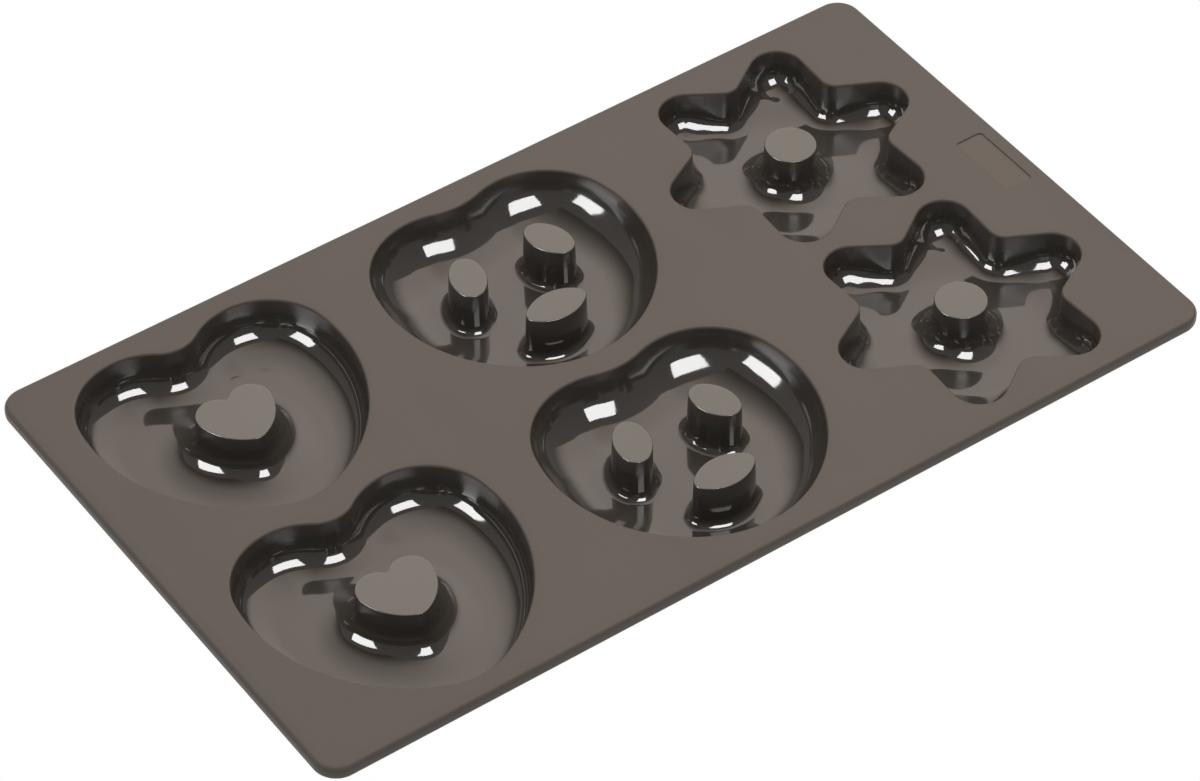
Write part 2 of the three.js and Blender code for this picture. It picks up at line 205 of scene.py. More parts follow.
SHEET = 0.0018
DEPTH = 0.0145
DECK_TOP = SHEET + DEPTH
LEAN = math.radians(2)
MOUTH_RADIUS = 0.0007
UNDER_RADIUS = 0.0008
COLLAR = 0.0027  # from a cavity's outline to the outer edge of its mouth's band
STRIP = 0.0004  # the level strip that ends a wall or a core
HIGH_END = 0.0105  # the coarser polish at the top of a wall has faded out at this depth
HIGH_FADE = 0.0085  # and fades over this much of it
SPAN = 0.084007
ROWS = ((1, 0.04068), (2, -0.04068))
HEART_AT = -0.09686
HEART_FORM = (0.227, 0.201, 0.252, 0.135, 0.625, 0.262, -0.455)
HEART_STEPS = (36, 56, 112, 30)
HEART_CORNER = 0.0078
HEART_REACH = 0.014
HEART_NOTCH_REACH = 0.0096
HEART_NOTCH_SIDE = 0.017  # half the width over which the reach drops at the notch
HEART_NOTCH_FADE = 0.012
HEART_NEAR_WALL = 0.0098
HEART_TAIL = math.radians(78)
FARWARDS = (0.35, 0.94)  # nearly a unit vector, away from the near side of the mould
CORNER_POINTS = 14
TAIL_POINTS = 10


def smooth_step(share):
    """3 share² - 2 share³, with the share held between 0 and 1."""
    share = np.clip(share, 0, 1)
    return share**2 * (3 - 2 * share)


def arc(centre, radius, start, end, count, hollow=False):
    """Points of part of a circle, without its last one: centre + radius * (cos, sin) at even
    turns from start to end, and with them the direction out of the shape, which is away from
    the centre, or towards it on a hollow arc."""
    turn = start + (end - start) * np.arange(count) / count
    out = np.stack([np.cos(turn), np.sin(turn)], -1)
    return np.array(centre) + radius * out, -out if hollow else out


def heart_line(form, steps, grow=0.0, least=0.0006):
    """A heart seen from above, as points and outward directions. The form gives, as shares of
    a star's span: lobe centre x and y, radii of lobe, notch, flank and tip, and the tip's y.
    Half of it is four arcs that meet smoothly, and the rest is their mirror image. Growing it
    adds to the bulging radii and takes from the notch, down to the least."""
    lobe_x, lobe_y, lobe, notch, flank, tip, tip_y = SPAN * np.array(form)
    lobe_at = np.array([lobe_x, lobe_y])
    tip_at = np.array([0, tip_y + tip])
    between = lobe_at - tip_at
    apart = np.hypot(*between)
    along = ((flank - tip) ** 2 - (flank - lobe) ** 2 + apart**2) / (2 * apart)
    aside = math.sqrt((flank - tip) ** 2 - along**2)
    flank_at = tip_at + (along * between + aside * np.array([-between[1], between[0]])) / apart
    lobe, tip, notch = lobe + grow, tip + grow, max(notch - grow, least)
    notch_at = np.array([0, lobe_y + math.sqrt((lobe + notch) ** 2 - lobe_x**2)])
    low = math.atan2(*(tip_at - flank_at)[::-1])
    high = math.atan2(*(lobe_at - flank_at)[::-1])
    meet = math.atan2(*(notch_at - lobe_at)[::-1])
    arcs = [
        arc(tip_at, tip, -math.pi / 2, low, steps[0]),
        arc(flank_at, flank + grow, low, high, steps[1]),
        arc(lobe_at, lobe, high, meet, steps[2]),
        arc(notch_at, notch, meet - math.pi, -math.pi / 2, steps[3], True),
        (np.array([[0, notch_at[1] - notch]]), np.array([[0, 1]])),
    ]
    halves = (np.concatenate(column) for column in zip(*arcs))
    mirror = np.array([-1, 1])
    return tuple(np.concatenate([half, half[-2:0:-1] * mirror]) for half in halves)


def descent(start, corner, reach, tail, behind, straight):
    """A wall's section from a depth down to level, as how far it has closed in and how deep it
    is: a line that leans by the draft, an arc of the corner's radius, and from the tail's turn
    on a wider arc that lies level at the reach. All three are tangent. The wide arc's centre
    lies above the reach, and its radius follows from the other lengths. behind is 0 on the
    moulded face and SHEET on its back. One row for each point, one column for each place."""
    corner, reach = (np.atleast_1d(length)[None, :] for length in (corner, reach))
    lean = math.tan(LEAN)
    rest = DEPTH - corner + corner * math.sin(LEAN)
    room = reach - corner * math.cos(LEAN) - lean * rest
    wider = room / (math.cos(tail) - lean * (1 - math.sin(tail)))
    deep = DEPTH - corner - wider
    near, low = reach - wider * math.cos(tail), deep + wider * math.sin(tail)
    tangent = low + (corner + behind) * math.sin(LEAN)
    upper = start + (tangent - start) * np.linspace(0, 1, straight, endpoint=False)[:, None]
    turn = np.linspace(LEAN, tail, CORNER_POINTS, endpoint=False)[:, None]
    last = np.linspace(tail, math.pi / 2, TAIL_POINTS)[:, None]
    wide = corner + wider + behind
    closed = [
        lean * upper - behind / math.cos(LEAN),
        near - (corner + behind) * np.cos(turn),
        reach - wide * np.cos(last),
    ]
    depth = [upper, low + (corner + behind) * np.sin(turn), deep + wide * np.sin(last)]
    return np.concatenate(closed), np.concatenate(depth)


def rings(line, grow, height, place, turn=0.0):
    """Rings of a surface: ring k is the line moved out by grow[k] along its own directions,
    turned, carried to its place and lifted to height[k]."""
    points, out = line
    grow = np.asarray(grow, float).reshape(len(grow), -1)
    flat = points[None] + grow[:, :, None] * out[None]
    cos, sin = math.cos(turn), math.sin(turn)
    flat = flat @ np.array([[cos, sin], [-sin, cos]]) + np.array(place)
    height = np.broadcast_to(np.asarray(height, float).reshape(len(grow), -1), flat.shape[:2])
    return np.concatenate([flat, height[:, :, None]], -1)


def fill_mesh(name, points, faces, slots, edge, upper, materials):
    """A piece from whole arrays: points, faces of three or four corners with -1 for a missing
    fourth, a material slot for each face, and for each point, from 0 to 1, how much of an edge
    it is and how high up an upright face it lies, where the polish was left coarser. The
    softboxes light it if some of its faces are polished."""
    counts = 4 - (faces < 0).sum(1)
    corners = faces[faces >= 0]
    mesh = bpy.data.meshes.new(name)
    mesh.vertices.add(len(points))
    mesh.vertices.foreach_set("co", points.astype(np.float32).ravel())
    mesh.loops.add(len(corners))
    mesh.loops.foreach_set("vertex_index", corners.astype(np.int32))
    mesh.polygons.add(len(faces))
    mesh.polygons.foreach_set("loop_start", (np.cumsum(counts) - counts).astype(np.int32))
    for material in materials:
        mesh.materials.append(material)
    mesh.polygons.foreach_set("material_index", slots.astype(np.int32))
    mesh.update(calc_edges=True)
    mesh.shade_smooth()
    mesh.set_sharp_from_angle(angle=math.radians(40))
    for mark, values in (("edge", edge), ("upper", upper)):
        marked = mesh.attributes.new(mark, "FLOAT", "POINT")
        marked.data.foreach_set("value", values.astype(np.float32))
    piece = bpy.data.objects.new(name, mesh)
    bpy.context.scene.collection.objects.link(piece)
    if polish in materials:
        mirroring_pieces.objects.link(piece)
    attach(piece, "root")
    return piece


def skin(name, points, slots, edge, upper, materials, closed):
    """A solid whose rings are joined by bands of four-sided faces. A closed one joins its last
    ring to its first. An open one ends in a fan to the middle of each end ring. slots has a
    value for each band, and edge and upper have one for each ring."""
    count, around = points.shape[:2]
    first = np.arange(count if closed else count - 1)[:, None] * around
    step = np.arange(around)[None]
    after = (step + 1) % around
    above = (first + around) % (count * around)
    faces = np.stack([first + step, first + after, above + after, above + step], -1)
    faces = faces.reshape(-1, 4)
    slots = np.repeat(np.asarray(slots)[: len(first)], around)
    edge, upper = (np.repeat(np.asarray(part, float), around) for part in (edge, upper))
    flat = points.reshape(-1, 3)
    if not closed:
        pole = len(flat)
        none = np.full(around, -1)
        low = np.stack([np.full(around, pole), after[0], step[0], none], -1)
        last = (count - 1) * around
        high = np.stack([np.full(around, pole + 1), last + step[0], last + after[0], none], -1)
        faces = np.concatenate([faces, low, high])
        slots = np.concatenate([slots, np.full(around, slots[0]), np.full(around, slots[-1])])
        flat = np.concatenate([flat, points[:1].mean(1), points[-1:].mean(1)])
        edge, upper = (np.concatenate([part, [0, 0]]) for part in (edge, upper))
    return fill_mesh(name, flat, faces, slots, edge, upper, materials)


# Sizes of the rubber's patterns, in cells for each metre
BROAD_CLOUDS = 24
FINE_CLOUDS = 520
DUST_SPECKS = 240
SMEARS = 55
ETCHED_GRAIN = 1700
WALL_RIPPLE = 60
PINHOLES = 180
# A rubbed edge is paler by a share and smoother by a roughness, and dust is rougher
WORN_PALER = 0.12
WORN_SMOOTHER = 0.12
DUST_ROUGHER = 0.3

rubber_tone = bpy.data.node_groups.new("rubber_tone", "ShaderNodeTree")
for socket, kind in (
    ("Colour", "NodeSocketColor"),
    ("Roughness", "NodeSocketFloat"),
    ("Clouds", "NodeSocketFloat"),
    ("Smears", "NodeSocketFloat"),
    ("Dust", "NodeSocketFloat"),
    ("Wear", "NodeSocketFloat"),
    ("Coarser", "NodeSocketFloat"),
):
    rubber_tone.interface.new_socket(socket, in_out="INPUT", socket_type=kind)
rubber_tone.interface.new_socket("Colour", in_out="OUTPUT", socket_type="NodeSocketColor")
rubber_tone.interface.new_socket("Roughness", in_out="OUTPUT", socket_type="NodeSocketFloat")


def noise(tree, where, scale, detail, stretch=(1, 1, 1)):
    """A noise over Object coordinates, less its mean. scale is in cells for each metre."""
    lay = tree.nodes.new("ShaderNodeMapping")
    lay.inputs["Scale"].default_value = stretch
    tree.links.new(where.outputs["Object"], lay.inputs["Vector"])
    cells = tree.nodes.new("ShaderNodeTexNoise")
    cells.inputs["Scale"].default_value = scale
    cells.inputs["Detail"].default_value = detail
    tree.links.new(lay.outputs["Vector"], cells.inputs["Vector"])
    return math_node(tree, "SUBTRACT", cells.outputs["Fac"], 0.5)


def ramp(tree, value, low, high):
    """0 where the value is at low, 1 where it is at high, and even between."""
    node = tree.nodes.new("ShaderNodeMapRange")
    node.inputs["From Min"].default_value = low
    node.inputs["From Max"].default_value = high
    tree.links.new(value, node.inputs["Value"])
    return node.outputs["Result"]


tone_in = rubber_tone.nodes.new("NodeGroupInput").outputs
tone_out = rubber_tone.nodes.new("NodeGroupOutput").inputs
tone_where = rubber_tone.nodes.new("ShaderNodeTexCoord")
broad = noise(rubber_tone, tone_where, BROAD_CLOUDS, 3)
fine = noise(rubber_tone, tone_where, FINE_CLOUDS, 4)
fine = math_node(rubber_tone, "MULTIPLY", fine, 0.4)
cloud = math_node(rubber_tone, "ADD", broad, fine)
cloud = math_node(rubber_tone, "MULTIPLY", cloud, tone_in["Clouds"])
cloud = math_node(rubber_tone, "MULTIPLY", cloud, 2)
shade = math_node(rubber_tone, "ADD", cloud, 1)
paler = math_node(rubber_tone, "MULTIPLY", tone_in["Wear"], WORN_PALER)
worn_shade = math_node(rubber_tone, "ADD", shade, paler)
tinted = rubber_tone.nodes.new("ShaderNodeVectorMath")
tinted.operation = "SCALE"
rubber_tone.links.new(tone_in["Colour"], tinted.inputs[0])
rubber_tone.links.new(worn_shade, tinted.inputs["Scale"])
specks = rubber_tone.nodes.new("ShaderNodeTexVoronoi")
specks.inputs["Scale"].default_value = DUST_SPECKS
rubber_tone.links.new(tone_where.outputs["Object"], specks.inputs["Vector"])
dust = ramp(rubber_tone, specks.outputs["Distance"], 0.04, 0.025)
dust = math_node(rubber_tone, "MULTIPLY", dust, tone_in["Dust"])
dusted = rubber_tone.nodes.new("ShaderNodeMix")
dusted.data_type = "RGBA"
dusted_in = [socket for socket in dusted.inputs if socket.enabled]
dusted_out = [socket for socket in dusted.outputs if socket.enabled]
dusted_in[2].default_value = (0.3, 0.27, 0.24, 1)
rubber_tone.links.new(dust, dusted_in[0])
rubber_tone.links.new(tinted.outputs["Vector"], dusted_in[1])
rubber_tone.links.new(dusted_out[0], tone_out["Colour"])
smear = noise(rubber_tone, tone_where, SMEARS, 5, (1, 0.35, 1))
smear = ramp(rubber_tone, smear, 0.0, 0.22)
smear = math_node(rubber_tone, "MULTIPLY", smear, tone_in["Smears"])
rough = math_node(rubber_tone, "ADD", tone_in["Roughness"], smear)
dust_rougher = math_node(rubber_tone, "MULTIPLY", dust, DUST_ROUGHER)
rough = math_node(rubber_tone, "ADD", rough, dust_rougher)
smoother = math_node(rubber_tone, "MULTIPLY", tone_in["Wear"], WORN_SMOOTHER)
rough = math_node(rubber_tone, "SUBTRACT", rough, smoother)
rough = math_node(rubber_tone, "ADD", rough, tone_in["Coarser"])
rubber_tone.links.new(rough, tone_out["Roughness"])

rubber_relief = bpy.data.node_groups.new("rubber_relief", "ShaderNodeTree")
for socket in ("Grain", "Pits", "Ripple"):
    rubber_relief.interface.new_socket(socket, in_out="INPUT", socket_type="NodeSocketFloat")
rubber_relief.interface.new_socket("Height", in_out="OUTPUT", socket_type="NodeSocketFloat")
relief_in = rubber_relief.nodes.new("NodeGroupInput").outputs
relief_out = rubber_relief.nodes.new("NodeGroupOutput").inputs
relief_where = rubber_relief.nodes.new("ShaderNodeTexCoord")
grain = noise(rubber_relief, relief_where, ETCHED_GRAIN, 2)
grain = math_node(rubber_relief, "MULTIPLY", grain, relief_in["Grain"])
ripple = noise(rubber_relief, relief_where, WALL_RIPPLE, 1)
ripple = math_node(rubber_relief, "MULTIPLY", ripple, relief_in["Ripple"])
pit_cells = rubber_relief.nodes.new("ShaderNodeTexVoronoi")
pit_cells.inputs["Scale"].default_value = PINHOLES
rubber_relief.links.new(relief_where.outputs["Object"], pit_cells.inputs["Vector"])
pits = ramp(rubber_relief, pit_cells.outputs["Distance"], 0.05, 0.0)
pits = math_node(rubber_relief, "MULTIPLY", pits, relief_in["Pits"])
height = math_node(rubber_relief, "ADD", grain, ripple)
height = math_node(rubber_relief, "SUBTRACT", height, pits)
rubber_relief.links.new(height, relief_out["Height"])


def rubber(
    name, colour, roughness, specular, clouds, smears, dust, coarser, grain, pits, ripple
):
    """A finish of the brown silicone rubber. coarser is added to the roughness at the top of a
    wall. grain, pits and ripple are heights in metres of the tool's etched grain, of pinholes
    in the casting and of the slow wander of a soft wall."""
    material = bpy.data.materials.new(name)
    material.use_nodes = True
    tree = material.node_tree
    shader = tree.nodes["Principled BSDF"]
    shader.inputs["IOR"].default_value = 1.45
    shader.inputs["Specular IOR Level"].default_value = specular
    rubbed = tree.nodes.new("ShaderNodeAttribute")
    rubbed.attribute_name = "edge"
    tone = tree.nodes.new("ShaderNodeGroup")
    tone.node_tree = rubber_tone
    for socket, value in (
        ("Colour", (*colour, 1)),
        ("Roughness", roughness),
        ("Clouds", clouds),
        ("Smears", smears),
        ("Dust", dust),
    ):
        tone.inputs[socket].default_value = value
    tree.links.new(rubbed.outputs["Fac"], tone.inputs["Wear"])
    high = tree.nodes.new("ShaderNodeAttribute")
    high.attribute_name = "upper"
    high_rougher = math_node(tree, "MULTIPLY", high.outputs["Fac"], coarser)
    tree.links.new(high_rougher, tone.inputs["Coarser"])
    tree.links.new(tone.outputs["Colour"], shader.inputs["Base Color"])
    tree.links.new(tone.outputs["Roughness"], shader.inputs["Roughness"])
    relief = tree.nodes.new("ShaderNodeGroup")
    relief.node_tree = rubber_relief
    relief.inputs["Grain"].default_value = grain
    relief.inputs["Pits"].default_value = pits
    relief.inputs["Ripple"].default_value = ripple
    bump = tree.nodes.new("ShaderNodeBump")
    bump.inputs["Distance"].default_value = 1
    tree.links.new(relief.outputs["Height"], bump.inputs["Height"])
    tree.links.new(bump.outputs["Normal"], shader.inputs["Normal"])
    return material


# Its base colour is about twice as pale as the polished rubber's: partly its etched finish, and
# partly a painted sheen of the bright card over the deck.
satin = rubber(
    "satin_rubber", (0.136, 0.116, 0.099), roughness=0.42, specular=0.3, clouds=0.05,
    smears=0.05, dust=0.3, coarser=0, grain=1.2e-5, pits=1e-5, ripple=2e-5,
)
polish = rubber(
    "polished_rubber", (0.066, 0.0565, 0.0475), roughness=0.06, specular=0.9, clouds=0.04,
    smears=0.04, dust=0.25, coarser=0.3, grain=6e-7, pits=2e-6, ripple=5e-5,
)


def high_up(depth):
    """How high up an upright face a depth lies: 1 near the deck, and 0 from HIGH_END down."""
    return smooth_step((HIGH_END - depth) / HIGH_FADE)


def near_side(out):
    """How much directions point to the near side: the smooth step of 0.5 less 0.9 times their
    part along FARWARDS."""
    return smooth_step(0.5 - 0.9 * (out @ np.array(FARWARDS)))


def cavity_mouth(name, line, place):
    """The satin edge of a cavity's mouth as a closed band. Its section runs in over the deck,
    round the edge, and back out through the sheet. Returns its outer ring."""
    turn = np.linspace(math.pi / 2, 0, 9)
    round_grow = MOUTH_RADIUS * (1 - np.cos(turn) - math.tan(LEAN))
    grow = np.concatenate([[COLLAR], round_grow, [COLLAR]])
    depth = np.concatenate([[0], MOUTH_RADIUS * (1 - np.sin(turn)), [MOUTH_RADIUS]])
    edge = np.concatenate([[0], np.sin(2 * turn), [0]])
    points = rings(line, grow, DECK_TOP - depth, place)
    piece = skin(f"{name}_cup_mouth", points, 0 * edge, edge, 0 * edge, (satin,), True)
    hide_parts("deck")
    return points[0, :, :2]


def cavity_wall(name, line, corner, reach, tail, place, raised=None):
    """A cavity's wall as a closed band. Its section runs down the wall from the edge of the
    mouth, round the corner, a little way over the floor, down through the sheet, back up the
    outside, and in over it. Returns its ring on the floor."""
    reach = reach + 0 * line[0][:, 0]
    flat = 0 * reach[None]
    closed, face = descent(MOUTH_RADIUS, corner, reach, tail, 0, 4)
    back_closed, back = descent(SHEET + UNDER_RADIUS, corner, reach, tail, SHEET, 3)
    under = np.linspace(0, math.pi / 2, 6)[1:, None]
    under_grow = flat + UNDER_RADIUS * (1 - np.cos(under)) - back_closed[0]
    under_depth = flat + SHEET + UNDER_RADIUS * (1 - np.sin(under))
    foot = -closed[-1:] - STRIP
    out = flat + COLLAR
    grow = [-closed, foot, foot, -back_closed[::-1], under_grow, out, out]
    depth = [
        face,
        flat + DEPTH,
        flat + DECK_TOP,
        back[::-1],
        under_depth,
        flat + SHEET,
        flat + MOUTH_RADIUS,
    ]
    grow, depth = np.concatenate(grow), np.concatenate(depth)
    ring = np.arange(len(grow))
    inside = len(face)
    slots = ring < inside
    upper = np.where(ring < inside, high_up(depth[:, 0]), 0)
    points = rings(line, grow, DECK_TOP - depth, place)
    if raised:
        points = raised(points, place)
    piece = skin(f"{name}_cup_wall", points, slots, 0 * upper, upper, (satin, polish), True)
    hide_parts(f"{name}_wall")
    return points[inside]


mouths = []
heart_feet = []
heart_outline = heart_line(HEART_FORM, HEART_STEPS)
heart_x, heart_y = heart_outline[0].T
at_notch = smooth_step((HEART_NOTCH_SIDE - np.abs(heart_x)) / HEART_NOTCH_FADE)
at_notch = np.where(heart_y > 0, at_notch, 0)
heart_reach = HEART_REACH + (HEART_NOTCH_REACH - HEART_REACH) * at_notch
heart_reach = heart_reach + (HEART_NEAR_WALL - heart_reach) * near_side(heart_outline[1])
for number, y in ROWS:
    name = f"heart_{number}"
    place = (HEART_AT, y)
    mouths.append(cavity_mouth(name, heart_outline, place))
    foot = cavity_wall(name, heart_outline, HEART_CORNER, heart_reach, HEART_TAIL, place)
    heart_feet.append(foot)


# Heart cavities: cores

# The core leaves the hole in the cake. It is a hollow upstand of the same rubber, open below,
# level with the deck and satin on top, where a knife clears the dough. Its foot flares out.
# Its top has no glare, and is painted paler than the deck instead, as a painted sheen.

HEART_CORE_FORM = (0.064, 0.039, 0.076, 0.012, 0.202, 0.054, -0.131)
HEART_CORE_STEPS = (20, 20, 56, 20)
CORE_EDGE_RADIUS = 0.0005
HEART_FLARE = 0.008
HEART_FLARE_REACH = 0.0114
HEART_NEAR_REACH = 0.0138

# Painted sheen: the core tops are the deck's satin rubber with no glare, painted about twice as
# pale as the deck to stand in for the sheen they lose.
core_top_painted_sheen = rubber(
    "core_top_painted_sheen_rubber", (0.291, 0.262, 0.230), roughness=0.45, specular=0, clouds=0.05,
    smears=0.04, dust=0.3, coarser=0, grain=1.2e-5, pits=1e-5, ripple=1e-5,
)


def core_section(flare, reach, tail):
    """Grow and depth of a core's rings: out over the ceiling of its hollow, down the hollow,
    out under the floor, up through the sheet, in over the floor, up the flare and the side,
    round the top edge and in over the top. With them its slots, its marks, and the number of
    the ring below the one on the floor."""
    turn = np.linspace(0, math.pi / 2, 7)
    bore_grow, bore = (
        part[:, 0] for part in descent(SHEET + CORE_EDGE_RADIUS, flare, reach, tail, SHEET, 3)
    )
    roof_grow = bore_grow[0] - CORE_EDGE_RADIUS * (1 - np.sin(turn[:-1]))
    roof = SHEET + CORE_EDGE_RADIUS * (1 - np.cos(turn[:-1]))
    side_grow, side = (
        part[::-1, 0] for part in descent(CORE_EDGE_RADIUS, flare, reach, tail, 0, 4)
    )
    top_grow = side_grow[-1] - CORE_EDGE_RADIUS * (1 - np.cos(turn[1:]))
    top = CORE_EDGE_RADIUS * (1 - np.sin(turn[1:]))
    foot = side_grow[0] + STRIP
    grow = [
        [roof_grow[0] - STRIP],
        roof_grow,
        bore_grow,
        [foot, foot],
        side_grow,
        top_grow,
        [top_grow[-1] - STRIP],
    ]
    depth = [[SHEET], roof, bore, [DECK_TOP, DEPTH], side, top, [0]]
    grow, depth = np.concatenate(grow), np.concatenate(depth)
    start = 1 + len(roof) + len(bore)
    ring = np.arange(len(grow))
    crown = len(grow) - len(top) - 1
    half_round = crown + 2  # the polish ends half way round the top edge
    slots = np.where(ring > start, 1, 0)
    slots = np.where(ring >= half_round, 2, slots)
    edge = np.zeros(len(grow))
    edge[crown:-1] = np.sin(2 * turn[1:])
    upper = np.where(ring > start, high_up(depth), 0)
    return grow, depth, slots, edge, upper, start


def core(name, points, section, node):
    """A core from its rings. Returns its outline at the foot."""
    grow, depth, slots, edge, upper, start = section
    piece = skin(name, points, slots, edge, upper, (satin, polish, core_top_painted_sheen), False)
    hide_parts(node)
    return points[start, :, :2]


def heart_core_rings(section):
    """Rings of the heart's core about its own middle, each a heart grown by its own amount."""
    flat = [heart_line(HEART_CORE_FORM, HEART_CORE_STEPS, grow)[0] for grow in section[0]]
    height = np.broadcast_to((DECK_TOP - section[1])[:, None, None], (len(flat), len(flat[0]), 1))
    return np.concatenate([np.stack(flat), height], -1)


heart_section = core_section(HEART_FLARE, HEART_FLARE_REACH, HEART_TAIL)
wide_section = core_section(HEART_FLARE, HEART_NEAR_REACH, HEART_TAIL)
core_out = heart_line(HEART_CORE_FORM, HEART_CORE_STEPS, HEART_FLARE)[0]
core_out = core_out / np.hypot(*core_out.T)[:, None]
wider_share = near_side(core_out)[None, :, None]
heart_rings = heart_core_rings(heart_section)
heart_rings = heart_rings + wider_share * (heart_core_rings(wide_section) - heart_rings)
heart_holes = []
for number, y in ROWS:
    name = f"heart_{number}"
    points = heart_rings + np.array([HEART_AT, y, 0])
    heart_holes.append(core(f"{name}_cup_core", points, heart_section, f"{name}_core"))


# Heart cavities: floors

# The floor is a level sheet that joins the round corner of the wall to the foot of the core.
# It is polished like the wall, and stands on the oven rack.


def plate(name, outer, holes, low, high, top_slot, materials):
    """A level sheet between two heights, with holes. Its top and underside are cut into
    triangles between the loops, and each loop has an upright face. Triangles of no area stay,
    because the sheet is open without them, and so their sum says which way they all turn."""
    loops = [outer, *holes]
    flat = np.concatenate(loops)
    count = len(flat)
    level = [np.pad(loop, ((0, 0), (0, 1))).tolist() for loop in loops]
    cut = np.array(tessellate_polygon(level))
    a, b, c = (flat[cut[:, k]] for k in range(3))
    along, aside = b - a, c - a
    area = along[:, 0] * aside[:, 1] - along[:, 1] * aside[:, 0]
    if area.sum() < 0:
        cut = cut[:, ::-1]
    none = np.full((len(cut), 1), -1)
    tops = np.concatenate([cut + count, none], 1)
    bottoms = np.concatenate([cut[:, ::-1], none], 1)
    sides = []
    start = 0
    for number, loop in enumerate(loops):
        here = start + np.arange(len(loop))
        after = start + (np.arange(len(loop)) + 1) % len(loop)
        side = np.stack([here, after, after + count, here + count], -1)
        sides.append(side if number == 0 else side[:, ::-1])
        start += len(loop)
    faces = np.concatenate([tops, bottoms, *sides])
    slots = np.where(np.arange(len(faces)) < len(tops), top_slot, 0)
    heights = np.repeat([low, high], count)
    points = np.concatenate([np.concatenate([flat, flat]), heights[:, None]], 1)
    plain = np.zeros(len(points))
    return fill_mesh(name, points, faces, slots, plain, plain, materials)


def floor(name, foot, holes, node):
    """The floor of a cavity, between its wall and its cores."""
    piece = plate(name, foot, holes, 0, SHEET, 1, (satin, polish))
    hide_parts(node)


for (number, y), foot, hole in zip(ROWS, heart_feet, heart_holes):
    name = f"heart_{number}"
    floor(f"{name}_cup_floor", foot[:, :2], [hole], f"{name}_floor")


# Pretzel cavities

# A fuller heart, almost round, whose wall rounds over into the floor from near the mouth.
# Three cores leave the holes of a pretzel: two ovals that lean together at the top, and one
# lying below them.

PRETZEL_AT = 0.00049
PRETZEL_FORM = (0.188, 0.154, 0.293, 0.304, 0.548, 0.429, -0.448)
PRETZEL_STEPS = (44, 52, 100, 38)
PRETZEL_CORNER = 0.0125
PRETZEL_REACH = 0.0146
PRETZEL_FAR_REACH = 0.0164
PRETZEL_NOTCH_REACH = 0.0151
PRETZEL_NOTCH_SIDE = 0.022  # half the width over which the far reach drops at the notch
PRETZEL_NOTCH_FADE = 0.010
PRETZEL_TIP_REACH = 0.0117
PRETZEL_TAIL = math.radians(44)
TIP_FACING = -0.55  # walls whose outward direction has less Y start to be at the tip
TIP_FADE = 0.35
FAR_FACING = -0.2  # and those with more than this start to be at the far side
FAR_FADE = 0.45
EYE = (0.098, 0.065, 0.050)
EYE_AT = (0.17 * SPAN, 0.102 * SPAN)
EYE_LEAN = math.radians(20)
LOWER = (0.118, 0.068, 0.036)
LOWER_AT = -0.183 * SPAN
OVAL_STEPS = 36
PRETZEL_FLARE = 0.003
PRETZEL_FLARE_REACH = 0.0032


def oval_line(form, steps):
    """An oval along Y as points and outward directions, from its half length, half width and
    end radius as shares of a star's span: two flat side arcs and two end arcs, all tangent."""
    half_length, half_width, end = SPAN * np.array(form)
    end_y = half_length - end
    side = (half_width**2 + end_y**2 - end**2) / (2 * (half_width - end))
    side_x = side - half_width
    swing = math.atan2(end_y, side_x)
    arcs = [
        arc((-side_x, 0), side, -swing, swing, steps),
        arc((0, end_y), end, swing, math.pi - swing, steps),
        arc((side_x, 0), side, math.pi - swing, math.pi + swing, steps),
        arc((0, -end_y), end, math.pi + swing, 2 * math.pi - swing, steps),
    ]
    points, out = (np.concatenate(column) for column in zip(*arcs))
    return points, out


pretzel_outline = heart_line(PRETZEL_FORM, PRETZEL_STEPS)
pretzel_x, pretzel_out_y = pretzel_outline[0][:, 0], pretzel_outline[1][:, 1]
eye_outline = oval_line(EYE, OVAL_STEPS)
lower_outline = oval_line(LOWER, OVAL_STEPS)
pretzel_section = core_section(PRETZEL_FLARE, PRETZEL_FLARE_REACH, HEART_TAIL)
at_tip = smooth_step((TIP_FACING - pretzel_out_y) / TIP_FADE)
at_far = smooth_step((pretzel_out_y - FAR_FACING) / FAR_FADE)
at_notch = smooth_step((PRETZEL_NOTCH_SIDE - np.abs(pretzel_x)) / PRETZEL_NOTCH_FADE)
far_reach = PRETZEL_FAR_REACH + (PRETZEL_NOTCH_REACH - PRETZEL_FAR_REACH) * at_notch
pretzel_reach = PRETZEL_REACH + (PRETZEL_TIP_REACH - PRETZEL_REACH) * at_tip
pretzel_reach = pretzel_reach + (far_reach - PRETZEL_REACH) * at_far
for number, y in ROWS:
    name = f"pretzel_{number}"
    place = (PRETZEL_AT, y)
    mouths.append(cavity_mouth(name, pretzel_outline, place))
    foot = cavity_wall(name, pretzel_outline, PRETZEL_CORNER, pretzel_reach, PRETZEL_TAIL, place)
    holes = []
    for side, outline, x, rise, turn in (
        ("left", eye_outline, -EYE_AT[0], EYE_AT[1], -EYE_LEAN),
        ("right", eye_outline, EYE_AT[0], EYE_AT[1], EYE_LEAN),
        ("lower", lower_outline, 0, LOWER_AT, math.pi / 2),
    ):
        core_at = (PRETZEL_AT + x, y + rise)
        height = DECK_TOP - pretzel_section[1]
        points = rings(outline, pretzel_section[0], height, core_at, turn)
        node = f"{name}_{side}_core"
        holes.append(core(f"{name}_cup_{side}_core", points, pretzel_section, node))
    floor(f"{name}_cup_floor", foot[:, :2], holes, f"{name}_floor")


# Star cavities

# Six rounded arms with straight flanks and rounded valleys, round one core. The corner at the
# floor is tight in the valleys and wider at the tips, where it almost uses up the arm.

